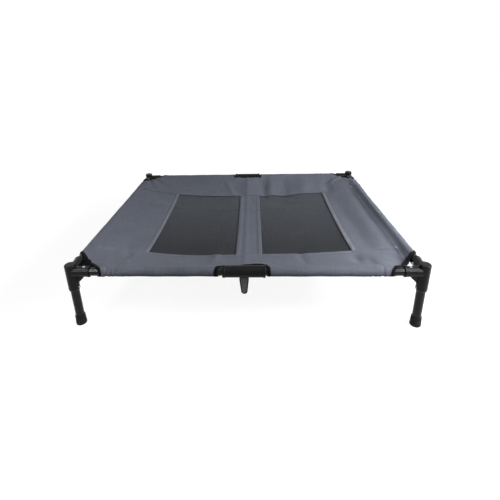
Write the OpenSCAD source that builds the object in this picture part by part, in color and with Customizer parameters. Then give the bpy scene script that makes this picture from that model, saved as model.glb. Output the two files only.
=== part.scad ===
// Raised dog cot: a knock-down tube frame that carries a cloth sling with two mesh windows.
// +X runs along the long rails, +Y to the rear and +Z up. The origin is on the floor under the centre.
// Lengths are in millimetres.

/* [Frame] */
// Distance between the leg axes along the long side
post_span_x = 886; // [760:1:1100]
// Distance between the leg axes along the short side
post_span_y = 732; // [640:1:900]
// Height of the rail axes above the floor
rail_z = 161.5; // [140:0.5:260]
// Outside diameter of every tube
tube_d = 22; // [20:0.5:24]
// Wall of every tube
tube_wall = 1.2; // [0.8:0.1:1.6]
// Radial room between a tube and the socket that it sits in
socket_fit = 0.15; // [0.05:0.05:0.3]
// Gap between the two halves of a long rail
rail_gap = 1; // [0.5:0.5:3]

/* [Corner connector] */
// Wall of the two rail sockets
socket_wall = 2.35; // [2:0.05:4]
// Wall of the leg socket
post_wall = 2.85; // [2.5:0.05:4.5]
// Solid wall between the inner ends of neighbouring sockets
seat_wall = 3; // [2:0.5:5]
// Reach of a rail socket from the leg axis
arm_len = 50; // [45:1:60]
// Width of the collar round a rail socket's mouth
collar_w = 4; // [3:0.5:6]
// Height of that collar above the socket
collar_rise = 1; // [0.5:0.25:2.5]
// Height of the domed cap above the rail axes
cap_rise = 21; // [17:0.5:24]
// Radius of the cap's rounded edge
cap_round = 3; // [2:0.5:6]
// Depth of the leg socket below the rail axes
leg_socket_drop = 55; // [54:0.5:75]
// Height of the chamfer round the leg socket's lower end
chamfer_h = 4.5; // [2:0.5:6]
// Inset of that chamfer
chamfer_in = 1.8; // [0.5:0.1:2.2]
// Flare of each socket's mouth
mouth_flare = 0.8; // [0.4:0.1:1.2]
// Reach of the gussets along the rail sockets, from the leg axis
gusset_reach = 34; // [28:1:38]
// Reach of the gussets down the leg socket, below the rail axes
gusset_drop = 34; // [26:1:38]
// Thickness of the gussets
gusset_t = 5; // [3:0.5:7]

/* [Feet] */
// Height of a rubber foot
foot_h = 28; // [20:1:40]
// Rubber under the end of the leg
foot_floor = 4; // [2:0.5:8]
// Wall of the foot at its top
foot_wall_top = 1.6; // [1.4:0.1:4]
// Wall of the foot at the floor
foot_wall_base = 2.8; // [2:0.1:6]
// Radius of the foot's edge at the floor
foot_round = 3; // [1:0.25:3.5]
// Radial room between the foot and the leg
foot_fit = 0.1; // [0.05:0.05:0.2]
// Number of grip grooves round the foot
foot_grooves = 3; // [0:1:4]
// Width of a grip groove
groove_w = 1.4; // [0.8:0.1:2]
// Depth of a grip groove
groove_depth = 0.7; // [0.3:0.1:1.2]

/* [Snap buttons] */
// Diameter of a button
button_d = 7; // [5:0.5:8]
// Radial room round a button
button_fit = 0.1; // [0.05:0.05:0.2]
// How far a button stands out of its socket
button_proud = 1.6; // [1:0.1:3]
// Height of a button's domed end
button_dome = 1.4; // [0.8:0.1:2]
// Distance of the rail buttons from the leg axis
rail_button_at = 35.5; // [28:0.5:37]
// Distance of the leg buttons below the rail axes
leg_button_drop = 46.5; // [42:0.5:50]
// Width of the leaf that carries a button
leaf_w = 7; // [5:0.5:9]
// Thickness of that leaf
leaf_t = 0.8; // [0.5:0.1:1.2]
// Length of the leaf beyond the button's axis
leaf_len = 34; // [20:1:50]
// Length of the leaf behind the button's axis
leaf_back = 5; // [3.5:0.5:10]
// Room between the leaf and the tube, and at its hinge end
leaf_room = 0.3; // [0.1:0.05:0.5]

/* [Coupling] */
// Length of a coupling housing
coupling_len = 108; // [80:1:140]
// Wall of the housing
coupling_wall = 3.85; // [3.6:0.05:6]
// Width of the rim round each end of the housing
rim_w = 6; // [4:0.5:10]
// Height of that rim
rim_rise = 1; // [0.5:0.1:2]
// Diameter of the lever's pin
pin_d = 2.5; // [2:0.1:2.6]
// Length of the pin in each cheek of the housing
pin_bite = 6; // [4:0.5:10]
// Radial room between the pin and the housing
pin_fit = 0.02; // [0.01:0.01:0.05]
// Radial room between the pin and the lever
lever_fit = 0.06; // [0.02:0.01:0.1]
// Diameter of the lever's hub
hub_d = 4.6; // [4.5:0.1:5.2]
// Room between the hub and the rail
hub_room = 0.3; // [0.2:0.05:0.6]

/* [Lever] */
// Width of the lever at its hub
lever_w = 24; // [22:0.5:30]
// Width of the lever at its tip
lever_tip_w = 16.5; // [12:0.5:20]
// Thickness of the lever
lever_t = 4.5; // [4:0.25:4.5]
// Distance of the lever's tip below the rail axis
lever_drop = 66; // [45:1:90]
// Distance below the rail axis over which the lever keeps its full width
lever_straight = 24; // [20:1:32]
// Room at each side of the lever
lever_side_room = 0.5; // [0.3:0.1:1]
// Width of the raised rim round the lever's face
lever_rim = 2.4; // [1.5:0.1:4]
// Depth of the dished face inside the rim
dish_depth = 2; // [1:0.1:2.4]
// Thickness of the grip pad in the dish
pad_t = 1.2; // [0.6:0.1:2]
// Room round the grip pad
pad_fit = 0.15; // [0.05:0.05:0.4]
// Distance of each tooth from the middle of the lever
tooth_at = 8; // [5:0.5:9]
// Width of a tooth
tooth_w = 4; // [2:0.5:5]
// Thickness of a tooth
tooth_t = 3; // [2:0.25:3.5]
// How far a tooth reaches past the outside of the rail
tooth_bite = 2.5; // [1.5:0.1:3]
// Room round a tooth
tooth_room = 0.6; // [0.3:0.1:1]

/* [Sling] */
// Thickness of the cloth
cloth_t = 1.2; // [0.8:0.1:2]
// Room between the sleeves and the rails
cloth_room = 0.4; // [0.4:0.1:1]
// Depth of the sag at the middle
sag = 52; // [5:1:70]
// How flat the bottom of the sag is: 2 is a plain bowl, and more is flatter
sag_power = 3; // [2:0.5:5]
// Distance of the sleeve seams from the rail axes
seam_in = 24; // [20:1:40]
// Room between a rail socket's collar and the bound edge of the cut corner
cut_room = 0.5; // [0.5:0.5:30]
// Distance from a coupling's end to the bound edge of the notch
notch_room = 3; // [2:0.5:30]
// How much further out the notch's ends open on the rail's outer side
notch_flare = 9; // [0:0.5:30]
// Gap between a coupling and the bound edge of the cloth behind it
notch_gap = 2; // [1:0.5:5]
// Width of the binding tape
binding_w = 7.5; // [4:0.5:12]
// Thickness of the bound edge
binding_t = 2; // [1.4:0.1:3]
// Gap left at each sewn joint
seam_room = 0.2; // [0.1:0.05:0.4]

/* [Mesh windows] */
// Width of the cloth strip between the windows
strip_w = 77; // [40:1:140]
// Width of a window
window_w = 250; // [150:1:320]
// Length of a window
window_l = 458; // [200:1:500]
// How far to the right of the middle the windows are sewn
window_shift_x = 11; // [-20:1:20]
// How far to the rear of the middle the windows are sewn
window_shift_y = -18; // [-25:1:25]
// Thickness of the mesh
mesh_t = 0.8; // [0.5:0.1:1.5]

/* [Hidden] */
$fn = 48;
half_x = post_span_x / 2;
half_y = post_span_y / 2;
past = 1;

tube_r = tube_d / 2;
tube_in_r = tube_r - tube_wall;
bore_r = tube_r + socket_fit;
arm_r = bore_r + socket_wall;
post_r = bore_r + post_wall;
collar_r = arm_r + collar_rise;
seat_at = bore_r + seat_wall;

button_r = button_d / 2;
button_hole_r = button_r + button_fit;
leaf_top = sqrt(pow(tube_in_r, 2) - pow(leaf_w / 2, 2)) - leaf_room;

barrel_r = bore_r + coupling_wall;
rim_r = barrel_r + rim_rise;
hub_r = hub_d / 2;
pin_drop = tube_r + hub_room + hub_r;
slot_w = lever_w + 2 * lever_side_room;
tooth_r = pin_drop - tube_r + tooth_bite;
slot_top = tube_r - tooth_bite + tooth_room;

cloth_in_r = tube_r + cloth_room;
cloth_out_r = cloth_in_r + cloth_t;
bound_over = (binding_t - cloth_t) / 2;
corner_cut = arm_len + collar_r + cut_room;
cloth_cut = corner_cut + binding_w * sqrt(2);
notch_in_half = coupling_len / 2 + notch_room;
notch_slope = notch_flare / (seam_in + cloth_out_r);
// The two layers of a sleeve are sewn flat along the seam, and its hollow starts behind that.
sewn_w = 2 * cloth_t;
hollow_drop = 1.5 * cloth_t;
hollow_h = 0.5 * cloth_t;
notch_edge = min(rim_r + notch_gap, seam_in - sewn_w);
window_in = strip_w / 2;
window_out = window_in + window_w;
window_front = window_shift_y - window_l / 2;
window_rear = window_shift_y + window_l / 2;

// Cells across each piece of the sling's grid
band_cells = 32;
band_rows = 3;
clip_cells = 2;
panel_cells = 4;
strip_cells = 2;
mesh_cells = 7;
window_rows = 16;
arc_cells = 12;
sleeve_cells = 8;
corner_cells = 4;
notch_cells = 8;

black_plastic = [0.07, 0.07, 0.075];
black_paint = [0.11, 0.11, 0.115];
black_rubber = [0.05, 0.05, 0.05];
zinc = [0.72, 0.73, 0.75];
spring_steel = [0.45, 0.46, 0.48];
grey_pad = [0.33, 0.33, 0.35];
grey_cloth = [0.39, 0.39, 0.44];
dark_mesh = [0.24, 0.25, 0.27];
black_tape = [0.08, 0.08, 0.09];

CORNERS = [
    ["front_left", -1, -1],
    ["front_right", 1, -1],
    ["rear_left", -1, 1],
    ["rear_right", 1, 1]
];
SIDES = [["front", -1], ["rear", 1]];
ENDS = [["left", -1], ["right", 1]];

// Flips what is drawn for the front left so that it serves another quarter of the cot.
module to_quarter(sx, sy) {
    mirror([sx > 0 ? 1 : 0, 0, 0]) mirror([0, sy > 0 ? 1 : 0, 0]) children();
}

// Puts what is drawn about a leg axis, with the rails leaving along +X and +Y, into a corner.
module at_corner(sx, sy) {
    to_quarter(sx, sy) translate([-half_x, -half_y, rail_z]) children();
}

// Puts what is drawn about a coupling's middle, with the lever swinging towards -Y, on its side.
module at_coupling(sy) {
    to_quarter(-1, sy) translate([0, -half_y, rail_z]) children();
}

// Turns +Z to +X, for what lies along a long rail.
module along_x() {
    rotate([0, 90, 0]) children();
}

// Turns +Z to +Y, for what lies along a short rail.
module along_y() {
    rotate([-90, 0, 0]) children();
}

// The three button places in a corner. A button points along its own +Z, and its leaf runs along +X.
module at_long_button() {
    translate([rail_button_at, 0, 0]) children();
}

module at_short_button() {
    translate([0, rail_button_at, 0]) rotate([90, 0, 90]) children();
}

module at_leg_button() {
    translate([0, 0, -leg_button_drop]) rotate([0, 90, 0]) children();
}

module button_hole() {
    cylinder(r = button_hole_r, h = post_r + collar_rise + past);
}

// Corner connector: leg socket with a domed cap, two rail sockets with collars, and two gussets.
module leg_socket() {
    cap = [for (a = [0 : 15 : 90])
        [post_r - cap_round + cap_round * cos(a), cap_rise - cap_round + cap_round * sin(a)]];
    rotate_extrude() polygon(concat(
        [[0, -leg_socket_drop], [post_r - chamfer_in, -leg_socket_drop]],
        [[post_r, chamfer_h - leg_socket_drop]],
        cap,
        [[0, cap_rise]]
    ));
}

module rail_socket() {
    start = bore_r / 2;
    rotate_extrude() polygon([
        [0, start],
        [arm_r, start],
        [arm_r, arm_len - collar_w - collar_rise],
        [collar_r, arm_len - collar_w],
        [collar_r, arm_len - collar_rise / 2],
        [collar_r - collar_rise / 2, arm_len],
        [0, arm_len]
    ]);
}

module gusset() {
    rotate([90, 0, 0]) linear_extrude(height = gusset_t, center = true) polygon([
        [0, -bore_r],
        [gusset_reach, -bore_r],
        [gusset_reach, -arm_r],
        [post_r, -gusset_drop],
        [0, -gusset_drop]
    ]);
}

// A socket's bore from its seat to past its mouth, with the flared mouth that guides the tube in.
module socket_bore(seat, mouth) {
    translate([0, 0, seat]) cylinder(r = bore_r, h = mouth - seat + past);
    translate([0, 0, mouth - mouth_flare])
        cylinder(r1 = bore_r, r2 = bore_r + 2 * mouth_flare, h = 2 * mouth_flare);
}

module corner_connector(sx, sy) {
    color(black_plastic) at_corner(sx, sy) difference() {
        union() {
            leg_socket();
            along_x() rail_socket();
            along_y() rail_socket();
            gusset();
            rotate([0, 0, 90]) gusset();
        }
        along_x() socket_bore(seat_at, arm_len);
        along_y() socket_bore(seat_at, arm_len);
        rotate([180, 0, 0]) socket_bore(seat_at, leg_socket_drop);
        at_long_button() button_hole();
        at_short_button() button_hole();
        at_leg_button() button_hole();
    }
}

// A plain tube along +Z.
module tube(from, to) {
    translate([0, 0, from]) difference() {
        cylinder(r = tube_r, h = to - from);
        translate([0, 0, -past]) cylinder(r = tube_in_r, h = to - from + 2 * past);
    }
}

module leg(sx, sy) {
    color(black_paint) at_corner(sx, sy) difference() {
        rotate([180, 0, 0]) tube(seat_at, rail_z - foot_floor);
        at_leg_button() button_hole();
    }
}

// Rubber foot: a tapered cup that is pushed on to the leg, with grip grooves round it.
module foot(sx, sy) {
    in_r = tube_r + foot_fit;
    top_r = in_r + foot_wall_top;
    base_r = in_r + foot_wall_base;
    edge = foot_wall_top / 3;
    sole = [for (a = [-90 : 15 : 0])
        [base_r - foot_round + foot_round * cos(a), foot_round + foot_round * sin(a)]];
    pitch = (foot_h - foot_floor) / (foot_grooves + 1);
    color(black_rubber) at_corner(sx, sy) translate([0, 0, -rail_z]) difference() {
        rotate_extrude() polygon(concat([[0, 0]], sole, [
            [top_r, foot_h - edge],
            [top_r - edge, foot_h],
            [0, foot_h]
        ]));
        translate([0, 0, foot_floor]) cylinder(r = in_r, h = foot_h);
        for (i = [1 : 1 : foot_grooves]) {
            z = foot_floor + i * pitch;
            wall_r = base_r + (top_r - base_r) * (z - foot_round) / (foot_h - edge - foot_round);
            rotate_extrude() translate([wall_r - groove_depth, z - groove_w / 2])
                square([foot_wall_base, groove_w]);
        }
    }
}

// Half a long rail, from its corner socket to the middle, with a slot for one of the lever's teeth.
module long_rail(sx, sy) {
    slot_back = tooth_t / 2 + tooth_room;
    slot_front = tooth_r + tooth_room;
    rail_slot_top = slot_top / 2;
    color(black_paint) at_corner(sx, sy) difference() {
        along_x() tube(seat_at, half_x - rail_gap / 2);
        at_long_button() button_hole();
        translate([half_x - tooth_at - tooth_w / 2 - tooth_room, -slot_back, -tube_r - past])
            cube([tooth_w + 2 * tooth_room, slot_back + slot_front, tube_r + past - rail_slot_top]);
    }
}

module short_rail(sx) {
    span = half_y - seat_at;
    color(black_paint) difference() {
        translate([sx * half_x, 0, rail_z]) along_y() tube(-span, span);
        for (s = SIDES) at_corner(sx, s[1]) at_short_button() button_hole();
    }
}

// Coupling housing: a barrel with a rim at each end, open underneath for the lever.
module coupling(sy) {
    half = coupling_len / 2;
    profile = [
        [0, -half],
        [rim_r - rim_rise, -half],
        [rim_r, rim_rise - half],
        [rim_r, rim_w - half],
        [barrel_r, rim_w + rim_rise - half],
        [barrel_r, half - rim_w - rim_rise],
        [rim_r, half - rim_w],
        [rim_r, half - rim_rise],
        [rim_r - rim_rise, half],
        [0, half]
    ];
    slot_front = rim_r + past;
    slot_rear = tooth_r + tooth_room;
    pin_len = slot_w + 2 * pin_bite;
    color(black_plastic) at_coupling(sy) difference() {
        along_x() rotate_extrude() polygon(profile);
        along_x() translate([0, 0, -half - past]) cylinder(r = bore_r, h = coupling_len + 2 * past);
        translate([-slot_w / 2, -slot_front, -slot_front])
            cube([slot_w, slot_front + slot_rear, slot_front - slot_top]);
        translate([-pin_len / 2, 0, -pin_drop]) along_x() cylinder(r = pin_d / 2 + pin_fit, h = pin_len);
        // The pin snaps up into its seats from below.
        translate([-pin_len / 2, pin_fit - pin_d / 2, -slot_front])
            cube([pin_len, pin_d - 2 * pin_fit, slot_front - pin_drop]);
    }
}

module lever_pin(sy) {
    pin_len = slot_w + 2 * pin_bite - 2 * pin_fit;
    color(zinc) at_coupling(sy) translate([-pin_len / 2, 0, -pin_drop]) along_x()
        cylinder(d = pin_d, h = pin_len);
}

// Outline of the lever seen from the front, drawn in by inset all round.
module lever_outline(top, inset) {
    wide = lever_w / 2 - inset;
    narrow = lever_tip_w / 2 - inset;
    tip_z = lever_tip_w / 2 - lever_drop;
    polygon([
        [-wide, -top],
        [-wide, -lever_straight],
        [-narrow, tip_z],
        [narrow, tip_z],
        [wide, -lever_straight],
        [wide, -top]
    ]);
    translate([0, tip_z]) circle(r = narrow);
}

// What is drawn in the lever's face lies from front to back along Y.
module lever_plate(front, back) {
    translate([0, back, 0]) rotate([90, 0, 0]) linear_extrude(height = back - front) children();
}

module tooth() {
    tip = pin_drop - tooth_r;
    nose = tooth_t / 4;
    rotate([90, 0, 90]) linear_extrude(height = tooth_w, center = true) polygon([
        [-tooth_t / 2, -pin_drop],
        [tooth_t / 2, -pin_drop],
        [tooth_t / 2, -tip - nose],
        [nose, -tip],
        [-nose, -tip],
        [-tooth_t / 2, -tip - nose]
    ]);
}

// Lever: a paddle with a dished face, a hub on the pin, and two teeth that hold the rail halves.
module lever(sy) {
    dish_top = pin_drop + hub_r + lever_rim;
    color(black_plastic) at_coupling(sy) difference() {
        union() {
            lever_plate(-lever_t / 2, lever_t / 2) lever_outline(pin_drop, 0);
            translate([-lever_w / 2, 0, -pin_drop]) along_x() cylinder(r = hub_r, h = lever_w);
            for (e = ENDS) translate([e[1] * tooth_at, 0, 0]) tooth();
        }
        lever_plate(-lever_t / 2 - past, dish_depth - lever_t / 2) lever_outline(dish_top, lever_rim);
        translate([-lever_w, 0, -pin_drop]) along_x()
            cylinder(r = pin_d / 2 + lever_fit, h = 2 * lever_w);
    }
}

module lever_pad(sy) {
    dish_top = pin_drop + hub_r + lever_rim;
    back = dish_depth - lever_t / 2;
    color(grey_pad) at_coupling(sy)
        lever_plate(back - pad_t, back) lever_outline(dish_top + pad_fit, lever_rim + pad_fit);
}

// Snap button: a domed pin on the free leaf of its spring. wall_r is the outside of its socket.
module snap_button(wall_r) {
    tip = wall_r + button_proud;
    low = leaf_top - leaf_t;
    dome = [for (a = [0 : 15 : 75])
        [button_r * cos(a), tip - button_dome + button_dome * sin(a)]];
    rotate_extrude() polygon(concat([[0, low], [button_r, low]], dome, [[0, tip]]));
    translate([-leaf_back, -leaf_w / 2, low]) cube([leaf_back + leaf_len - leaf_room, leaf_w, leaf_t]);
}

// The fixed leaf and the bend of a button's spring, against the far wall of the tube.
module button_spring() {
    translate([-leaf_back, -leaf_w / 2, -leaf_top]) cube([leaf_back + leaf_len, leaf_w, leaf_t]);
    translate([leaf_len, 0, 0]) rotate([90, 0, 0]) difference() {
        cylinder(r = leaf_top, h = leaf_w, center = true);
        cylinder(r = leaf_top - leaf_t, h = leaf_w + past, center = true);
        translate([-2 * leaf_top, -2 * leaf_top, -leaf_w])
            cube([2 * leaf_top, 4 * leaf_top, 2 * leaf_w]);
    }
}

module long_button(sx, sy) {
    color(zinc) at_corner(sx, sy) at_long_button() snap_button(arm_r);
}

module short_button(sx, sy) {
    color(zinc) at_corner(sx, sy) at_short_button() snap_button(arm_r);
}

module leg_button(sx, sy) {
    color(zinc) at_corner(sx, sy) at_leg_button() snap_button(post_r);
}

module button_springs() {
    color(spring_steel) for (c = CORNERS) at_corner(c[1], c[2]) {
        at_long_button() button_spring();
        at_short_button() button_spring();
        at_leg_button() button_spring();
    }
}

// The sling hangs from the four rails in one shallow bowl that every cloth piece follows.
function sag_share(u, half) = 1 - pow(abs(u) / half, sag_power);
function sag_at(x, y) = sag * sag_share(x, half_x) * sag_share(y, half_y);
function deck_z(x, y) = rail_z + cloth_out_r - sag_at(x, y);
function steps(from, to, count) = [for (i = [0 : count]) from + (to - from) * i / count];
function deck_point(x, y, lift) = [x, y, deck_z(x, y) + lift];

// A sheet of even thickness under rows of points. Rows follow +Y and the points in a row +X.
module sheet(rows, thick) {
    n = len(rows) - 1;
    m = len(rows[0]) - 1;
    count = (n + 1) * (m + 1);
    top = [for (row = rows) for (p = row) p];
    low = [for (p = top) p - [0, 0, thick]];
    // The rim runs anticlockwise, seen from above.
    rim = concat(
        [for (j = [0 : m]) j],
        [for (i = [1 : n]) i * (m + 1) + m],
        [for (j = [1 : m]) n * (m + 1) + m - j],
        [for (i = [1 : 1 : n - 1]) (n - i) * (m + 1)]
    );
    edges = [for (k = [0 : len(rim) - 1]) [rim[k], rim[(k + 1) % len(rim)]]];
    cells = [for (i = [0 : n - 1]) for (j = [0 : m - 1]) i * (m + 1) + j];
    polyhedron(points = concat(top, low), faces = concat(
        [for (a = cells) [a, a + m + 1, a + m + 2]],
        [for (a = cells) [a, a + m + 2, a + 1]],
        [for (a = cells) [count + a, count + a + m + 2, count + a + m + 1]],
        [for (a = cells) [count + a, count + a + 1, count + a + m + 2]],
        [for (e = edges) [count + e[0], e[0], e[1]]],
        [for (e = edges) [count + e[0], e[1], count + e[1]]]
    ));
}

// A rectangle of the sling, drawn in by half a seam on every side.
module deck_piece(x0, x1, y0, y1, nx, ny, thick) {
    g = seam_room / 2;
    columns = steps(x0 + g, x1 - g, nx);
    sheet([for (y = steps(y0 + g, y1 - g, ny)) [for (x = columns) deck_point(x, y, 0)]], thick);
}

// Front or rear band: the full width of the sling, with its outer corners cut off.
module band(sy) {
    clip_end = cloth_cut - seam_in;
    depth = half_y - window_l / 2 - sy * window_shift_y;
    from = concat(
        steps(seam_in + seam_room / 2, clip_end, clip_cells),
        [for (d = steps(clip_end, depth - seam_room / 2, band_rows)) if (d > clip_end) d]
    );
    color(grey_cloth) to_quarter(-1, sy) sheet([for (d = from)
        let (reach = half_x - max(seam_in + seam_room / 2, cloth_cut - d))
        [for (x = steps(-reach, reach, band_cells)) deck_point(x, d - half_y, 0)]
    ], cloth_t);
}

module panel(sx) {
    window_edge = window_out + sx * window_shift_x;
    color(grey_cloth) to_quarter(sx, -1) deck_piece(
        seam_in - half_x, -window_edge, window_front, window_rear, panel_cells, window_rows, cloth_t
    );
}

module centre_strip() {
    x0 = window_shift_x - window_in;
    color(grey_cloth) deck_piece(
        x0, x0 + strip_w, window_front, window_rear, strip_cells, window_rows, cloth_t
    );
}

module mesh(sx) {
    x0 = window_shift_x + (sx < 0 ? -window_out : window_in);
    color(dark_mesh) deck_piece(
        x0, x0 + window_w, window_front, window_rear, mesh_cells, window_rows, mesh_t
    );
}

// A sleeve's section is a drop: an arc round the rail, drawn in to the seam at high and low.
function section(high, low, r) =
    let (a = atan2(high[1], high[0]) + acos(r / norm(high)))
    let (b = 360 + atan2(low[1], low[0]) - acos(r / norm(low)))
    concat([high], [for (t = steps(a, b, arc_cells)) [r * cos(t), r * sin(t)]], [low]);

// How far the sling has sagged at the seam, at u along a long or a short rail.
function seam_sag(u, long) = long ? sag_at(u, half_y - seam_in) : sag_at(half_x - seam_in, u);

// One ring of points: the section at a share s of the way between two slanted ends.
// Each end is [place on the rail's axis, shift per millimetre towards the seam].
// A bound end stands out by over, and lies closer to the rail by half of that.
function ring(start, end, s, long, over, inner) =
    let (at_seam = [for (e = [start, end]) e[0] + e[1] * seam_in])
    let (z = cloth_out_r - seam_sag(at_seam[0] + (at_seam[1] - at_seam[0]) * s, long))
    let (v = seam_in - seam_room / 2 - (inner ? sewn_w : 0))
    let (high = [v, inner ? z - hollow_drop + hollow_h / 2 : z + over])
    let (low = [v, inner ? z - hollow_drop - hollow_h / 2 : z - 2 * cloth_t - over])
    [for (p = section(high, low, inner ? cloth_in_r - over / 2 : cloth_out_r + over))
        let (u0 = start[0] + start[1] * p[0])
        let (u1 = end[0] + end[1] * p[0])
        [u0 + (u1 - u0) * s, p[0], p[1]]];

// A hollow sleeve about a rail's axis. Its points are [along the rail, towards the seam, up].
module sleeve_shell(start, end, count, long, over) {
    outer = [for (i = [0 : count]) ring(start, end, i / count, long, over, false)];
    inner = [for (i = [0 : count]) ring(start, end, i / count, long, over, true)];
    k = len(outer[0]);
    half = k * (count + 1);
    last = k * count;
    cells = [for (i = [0 : count - 1]) for (j = [0 : k - 1]) [i * k + j, i * k + (j + 1) % k]];
    rims = [for (j = [0 : k - 1]) [j, (j + 1) % k]];
    polyhedron(points = concat([for (r = outer) each r], [for (r = inner) each r]), faces = concat(
        [for (c = cells) [c[0], c[0] + k, c[1] + k]],
        [for (c = cells) [c[0], c[1] + k, c[1]]],
        [for (c = cells) [half + c[0], half + c[1] + k, half + c[0] + k]],
        [for (c = cells) [half + c[0], half + c[1], half + c[1] + k]],
        [for (c = rims) [c[0], c[1], half + c[1]]],
        [for (c = rims) [c[0], half + c[1], half + c[0]]],
        [for (c = rims) [last + c[0], last + half + c[1], last + c[1]]],
        [for (c = rims) [last + c[0], last + half + c[0], last + half + c[1]]]
    ));
}

// Puts a sleeve on the front rail, or on the left one, where along and inwards change places.
module on_front_rail() {
    translate([0, -half_y, rail_z]) children();
}

module on_left_rail() {
    translate([-half_x, 0, rail_z]) mirror([1, -1, 0]) children();
}

// Ends of the sleeves and bindings: the corners are cut at 45 degrees, the notch opens outwards.
function corner_end(half, cut) = [cut - half, -1];
function notch_end(beyond) = [-notch_in_half - notch_slope * seam_in - beyond, notch_slope];

module long_sleeve(sx, sy) {
    color(grey_cloth) to_quarter(sx, sy) on_front_rail()
        sleeve_shell(corner_end(half_x, cloth_cut + seam_room), notch_end(binding_w + seam_room),
            sleeve_cells, true, 0);
}

module short_sleeve(sx) {
    start = corner_end(half_y, cloth_cut + seam_room);
    color(grey_cloth) to_quarter(sx, -1) on_left_rail()
        sleeve_shell(start, -start, 2 * sleeve_cells, false, 0);
}

// Corner binding: tape round the ends of two sleeves and across the cut corner between them.
module corner_binding(sx, sy) {
    lap = cloth_t;
    near = seam_in - lap;
    thick = cloth_t + 2 * bound_over;
    lines = [corner_cut, cloth_cut];
    color(black_tape) to_quarter(sx, sy) {
        on_front_rail()
            sleeve_shell(corner_end(half_x, corner_cut), corner_end(half_x, cloth_cut), 1, true, bound_over);
        on_left_rail()
            sleeve_shell(corner_end(half_y, corner_cut), corner_end(half_y, cloth_cut), 1, false, bound_over);
        sheet([for (cut = lines) [for (d = steps(near, cut - near, corner_cells))
            deck_point(d - half_x, cut - d - half_y, bound_over / 2)]], thick);
    }
}

// Notch binding: tape round the two sleeve ends at a coupling and along the cloth edge behind it.
module notch_binding(sy) {
    reach = notch_in_half + cloth_t;
    rows = [notch_edge, seam_in - seam_room / 2];
    thick = cloth_t + 2 * bound_over;
    color(black_tape) to_quarter(-1, sy) {
        for (e = ENDS) to_quarter(e[1], -1) on_front_rail()
            sleeve_shell(notch_end(binding_w), notch_end(0), 1, true, bound_over);
        sheet([for (v = rows) [for (x = steps(-reach, reach, notch_cells))
            deck_point(x, v - half_y, bound_over / 2)]], thick);
    }
}

for (c = CORNERS) corner_connector(c[1], c[2]);
for (c = CORNERS) leg(c[1], c[2]);
for (c = CORNERS) foot(c[1], c[2]);
for (c = CORNERS) long_rail(c[1], c[2]);
for (e = ENDS) short_rail(e[1]);
for (s = SIDES) coupling(s[1]);
for (s = SIDES) lever(s[1]);
for (s = SIDES) lever_pad(s[1]);
for (s = SIDES) lever_pin(s[1]);
for (c = CORNERS) long_button(c[1], c[2]);
for (c = CORNERS) short_button(c[1], c[2]);
for (c = CORNERS) leg_button(c[1], c[2]);
button_springs();
for (s = SIDES) band(s[1]);
for (e = ENDS) panel(e[1]);
centre_strip();
for (e = ENDS) mesh(e[1]);
for (c = CORNERS) long_sleeve(c[1], c[2]);
for (e = ENDS) short_sleeve(e[1]);
for (c = CORNERS) corner_binding(c[1], c[2]);
for (s = SIDES) notch_binding(s[1]);
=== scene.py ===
import math

import bpy
import numpy as np
from mathutils import Matrix, Vector


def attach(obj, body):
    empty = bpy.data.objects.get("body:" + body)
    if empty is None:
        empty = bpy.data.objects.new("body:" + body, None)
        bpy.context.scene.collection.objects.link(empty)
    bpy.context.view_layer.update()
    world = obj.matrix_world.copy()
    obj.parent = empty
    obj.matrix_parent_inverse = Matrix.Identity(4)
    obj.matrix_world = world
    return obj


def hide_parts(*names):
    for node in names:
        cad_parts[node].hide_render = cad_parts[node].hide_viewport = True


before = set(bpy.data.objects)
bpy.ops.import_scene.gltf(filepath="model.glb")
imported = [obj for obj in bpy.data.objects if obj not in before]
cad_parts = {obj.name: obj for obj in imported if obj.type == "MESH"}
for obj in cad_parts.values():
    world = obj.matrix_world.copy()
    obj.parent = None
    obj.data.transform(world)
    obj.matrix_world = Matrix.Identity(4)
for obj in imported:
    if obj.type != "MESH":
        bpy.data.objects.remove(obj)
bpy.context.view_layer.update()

scene = bpy.context.scene
scene.view_settings.view_transform = "Standard"

# Viewpoint: the cot is seen from the front, from about two thirds of a metre above the floor, with a
# wide lens that points 20 degrees down and a little to the left. The picture is cut out below the
# lens axis.
eye = Vector((0.0262, -1.1220, 0.6686))
turn, dip, roll = (math.radians(a) for a in (-2.601, 19.701, 1.507))
ahead = Vector((math.sin(turn) * math.cos(dip), math.cos(turn) * math.cos(dip), -math.sin(dip)))
level = Vector((math.cos(turn), -math.sin(turn), 0))
plumb = ahead.cross(level)
picture_right = math.cos(roll) * level + math.sin(roll) * plumb
picture_up = math.sin(roll) * level - math.cos(roll) * plumb
camera = bpy.data.objects.new("camera", bpy.data.cameras.new("camera"))
camera.matrix_world = Matrix.Translation(eye) @ Matrix(
    (picture_right, picture_up, -ahead)
).transposed().to_4x4()
camera.data.sensor_width = 36
camera.data.lens = 25.35
camera.data.shift_x = 0.0233
camera.data.shift_y = -0.1344
scene.collection.objects.link(camera)
scene.camera = camera


# Studio: a white floor and a white surround. A soft box stands on the right and a weaker one hangs
# overhead. A row of lamps behind grids at each side lights one front corner and gives it its highlights.
def wire(tree, kind, inputs=None, **settings):
    """Adds a shader node with these settings; inputs takes plain values or the sockets to join."""
    made = tree.nodes.new(kind)
    for key, value in settings.items():
        setattr(made, key, value)
    for key, value in (inputs or {}).items():
        if isinstance(value, bpy.types.NodeSocket):
            tree.links.new(value, made.inputs[key])
        else:
            made.inputs[key].default_value = value
    return made


def spread(tree, value, low, high, to_low, to_high):
    """Takes a value from one range to another, and stops at the ends."""
    return wire(tree, "ShaderNodeMapRange", {0: value, 1: low, 2: high, 3: to_low, 4: to_high}).outputs[0]


def combined(tree, operation, first, second):
    return wire(tree, "ShaderNodeMath", {0: first, 1: second}, operation=operation).outputs[0]


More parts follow.
